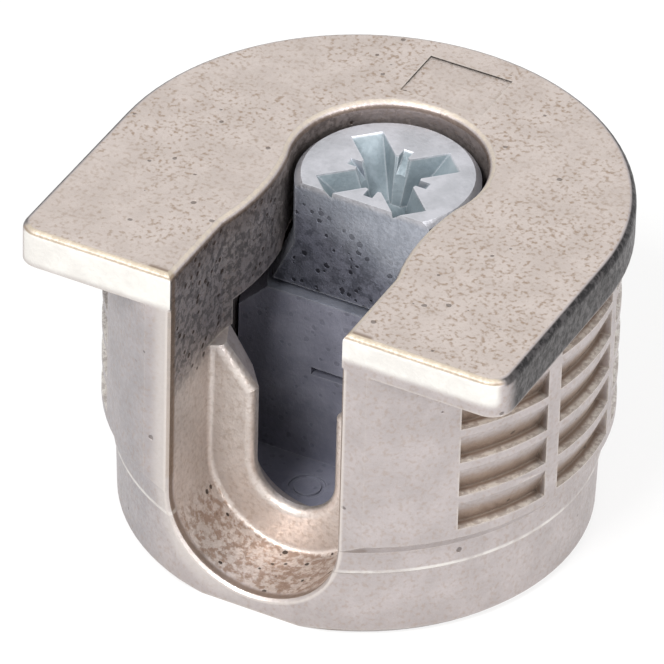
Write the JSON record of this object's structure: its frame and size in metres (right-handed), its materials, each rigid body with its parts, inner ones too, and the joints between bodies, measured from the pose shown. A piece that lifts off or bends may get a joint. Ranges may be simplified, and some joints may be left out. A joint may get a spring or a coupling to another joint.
{
  "type": "cam lock connector",
  "caption": "Barbed press-in connector housing with a D-shaped flange, open bolt slot and a half-turn cam with a cross recess.",
  "frame": {"origin": "on the axis of the round body, in the plane of the panel face that the flange's underside lies on", "axes": "+Z out of the panel, from the body to the flange; -Y to the front, where the connecting bolt comes in"},
  "size_m": [0.021, 0.0194, 0.0146],
  "materials": {
    "nickel_plated_casting": "satin nickel plate on a rough casting",
    "zinc_casting": "bare zinc casting, pitted"
  },
  "bodies": {
    "housing": {"housing": "nickel_plated_casting"},
    "cam": {"cam": "zinc_casting"}
  },
  "joints": [
    {"name": "cam_turn", "type": "hinge", "parent": "housing", "child": "cam", "pos_m": [0, 0.002, 0], "axis": [0, 0, -1], "range_deg": [0, 180]}
  ]
}
